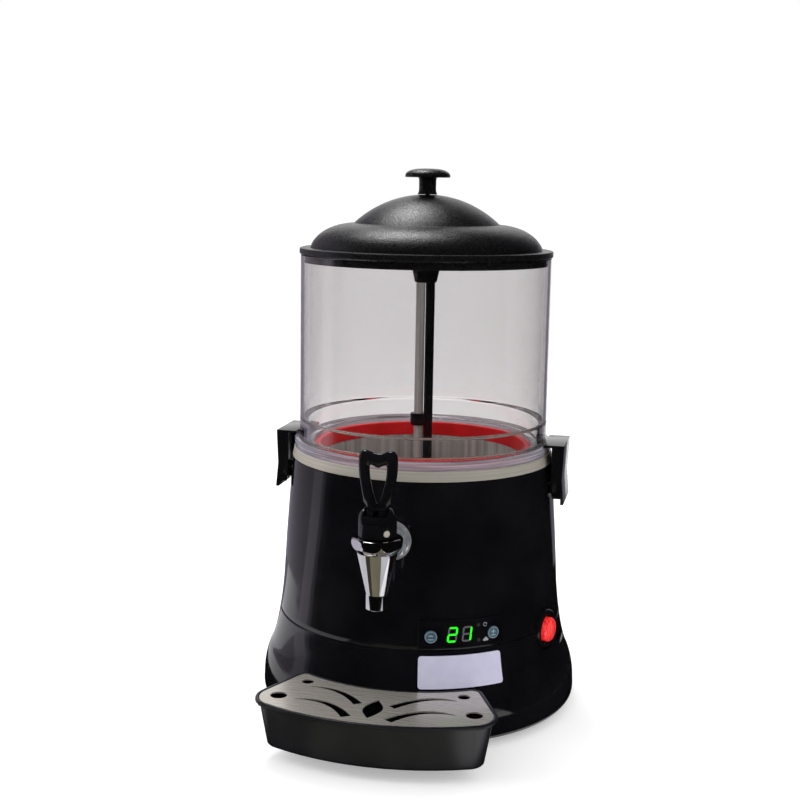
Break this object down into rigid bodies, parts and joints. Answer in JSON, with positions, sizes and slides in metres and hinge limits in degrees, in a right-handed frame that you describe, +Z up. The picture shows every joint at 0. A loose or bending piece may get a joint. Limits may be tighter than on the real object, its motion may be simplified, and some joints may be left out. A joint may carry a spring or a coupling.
{
  "type": "hot chocolate dispenser",
  "caption": "Countertop hot drink dispenser: clear bowl on a heated steel pan, stirrer, lever tap, drip tray with grille, control panel, side latches and a domed lid.",
  "frame": {"origin": "on the table under the machine, at the middle of the whole footprint: midway between the drip tray's front and the mains inlet's back, and on the vertical plane through the tap", "axes": "+Z up, +X to the right seen from the front, -Y out of the front where the tap and the tray are"},
  "size_m": [0.2796, 0.3502, 0.47],
  "materials": {
    "base_skirt": "glossy black",
    "front_shell": "glossy black",
    "rear_shell": "glossy black",
    "base_plate": "zinc plated",
    "foot_front_right": "matt black",
    "foot_rear_right": "matt black",
    "foot_rear_left": "matt black",
    "foot_front_left": "matt black",
    "product_pan": "satin stainless",
    "seal_ring": "red silicone",
    "trim_ring": "brushed stainless",
    "shaft_seal": "red silicone",
    "heater_ring": "cast",
    "thermostat": "black",
    "motor_bracket": "zinc plated",
    "gearbox": "cast zinc",
    "motor": "plain steel can",
    "bowl": "clear polycarbonate",
    "control_panel": "glossy black",
    "control_board": "green circuit board",
    "blank_plate": "white foil",
    "switch_body": "satin black",
    "power_inlet": "satin black",
    "mains_board": "green circuit board",
    "tap_shank": "stainless",
    "shank_seal": "red silicone",
    "inner_nut": "machined",
    "tap_rosette": "polished",
    "shank_nut": "polished",
    "tap_body": "polished",
    "tap_bonnet": "glossy black",
    "bonnet_screw": "stainless",
    "lever_pin": "stainless",
    "valve_spring": "stainless",
    "lid": "finely textured black",
    "lid_knob": "satin black",
    "knob_screw": "stainless",
    "stirrer_hub": "satin black",
    "stirrer_rod": "polished stainless",
    "stirrer_stem": "glossy black",
    "stirrer_clip": "satin black",
    "paddle": "satin black",
    "drive_shaft": "stainless",
    "tap_lever": "glossy black",
    "crank_pin": "stainless",
    "valve_rod": "stainless",
    "seat_cup": "red silicone",
    "drip_tray": "satin black",
    "drip_grille": "brushed stainless",
    "switch_button": "clear red",
    "button_minus": "blue grey",
    "button_plus": "blue grey",
    "latch_left": "glossy black",
    "latch_pin_left": "stainless",
    "latch_right": "glossy black",
    "latch_pin_right": "stainless"
  },
  "bodies": {
    "casing": {"base_skirt": "base_skirt", "front_shell": "front_shell", "rear_shell": "rear_shell", "base_plate": "base_plate", "foot_front_right": "foot_front_right", "foot_rear_right": "foot_rear_right", "foot_rear_left": "foot_rear_left", "foot_front_left": "foot_front_left", "product_pan": "product_pan", "seal_ring": "seal_ring", "trim_ring": "trim_ring", "shaft_seal": "shaft_seal", "heater_ring": "heater_ring", "thermostat": "thermostat", "motor_bracket": "motor_bracket", "gearbox": "gearbox", "motor": "motor", "bowl": "bowl", "control_panel": "control_panel", "control_board": "control_board", "blank_plate": "blank_plate", "switch_body": "switch_body", "power_inlet": "power_inlet", "mains_board": "mains_board", "tap_shank": "tap_shank", "shank_seal": "shank_seal", "inner_nut": "inner_nut", "tap_rosette": "tap_rosette", "shank_nut": "shank_nut", "tap_body": "tap_body", "tap_bonnet": "tap_bonnet", "bonnet_screw": "bonnet_screw", "lever_pin": "lever_pin", "valve_spring": "valve_spring"},
    "lid": {"lid": "lid", "lid_knob": "lid_knob", "knob_screw": "knob_screw"},
    "stirrer": {"stirrer_hub": "stirrer_hub", "stirrer_rod": "stirrer_rod", "stirrer_stem": "stirrer_stem", "stirrer_clip": "stirrer_clip", "paddle": "paddle", "drive_shaft": "drive_shaft"},
    "lever": {"tap_lever": "tap_lever", "crank_pin": "crank_pin"},
    "valve": {"valve_rod": "valve_rod", "seat_cup": "seat_cup"},
    "tray": {"drip_tray": "drip_tray"},
    "grille": {"drip_grille": "drip_grille"},
    "switch": {"switch_button": "switch_button"},
    "minus": {"button_minus": "button_minus"},
    "plus": {"button_plus": "button_plus"},
    "left_latch": {"latch_left": "latch_left", "latch_pin_left": "latch_pin_left"},
    "right_latch": {"latch_right": "latch_right", "latch_pin_right": "latch_pin_right"}
  },
  "joints": [
    {"name": "lid_lift", "type": "slide", "parent": "casing", "child": "lid", "axis": [0, 0, 1], "range_m": [0, 0.1]},
    {"name": "stirrer_turn", "type": "hinge", "parent": "casing", "child": "stirrer", "pos_m": [0, 0.0329, 0.16], "axis": [0, 0, 1], "continuous": true},
    {"name": "lever_pull", "type": "hinge", "parent": "casing", "child": "lever", "pos_m": [0, -0.1351, 0.204], "axis": [1, 0, 0], "range_deg": [0, 45], "stiffness_Nm_per_rad": 0.08, "springref_deg": -20.05},
    {"name": "valve_lift", "type": "slide", "parent": "casing", "child": "valve", "axis": [0, 0, 1], "range_m": [0, 0.0039], "deforming": ["valve_spring"]},
    {"name": "tray_slide", "type": "slide", "parent": "casing", "child": "tray", "axis": [0, -1, 0], "range_m": [0, 0.09]},
    {"name": "grille_lift", "type": "slide", "parent": "tray", "child": "grille", "axis": [0, 0, 1], "range_m": [0, 0.04]},
    {"name": "switch_press", "type": "slide", "parent": "casing", "child": "switch", "axis": [-0.9455, 0.3256, 0], "range_m": [0, 0.0025], "stiffness_N_per_m": 800},
    {"name": "minus_press", "type": "slide", "parent": "casing", "child": "minus", "axis": [-0.274, 0.9617, 0], "range_m": [0, 0.0008], "stiffness_N_per_m": 1000},
    {"name": "plus_press", "type": "slide", "parent": "casing", "child": "plus", "axis": [-0.6494, 0.7604, 0], "range_m": [0, 0.0008], "stiffness_N_per_m": 1000},
    {"name": "left_latch_tilt", "type": "hinge", "parent": "casing", "child": "left_latch", "pos_m": [-0.1203, 0.0329, 0.2], "axis": [0, -1, 0], "range_deg": [0, 28]},
    {"name": "right_latch_tilt", "type": "hinge", "parent": "casing", "child": "right_latch", "pos_m": [0.1203, 0.0329, 0.2], "axis": [0, 1, 0], "range_deg": [0, 28]}
  ],
  "couplings": [
    {"joint": "valve_lift", "follows": "lever_pull", "m_per_rad": 0.0048}
  ]
}
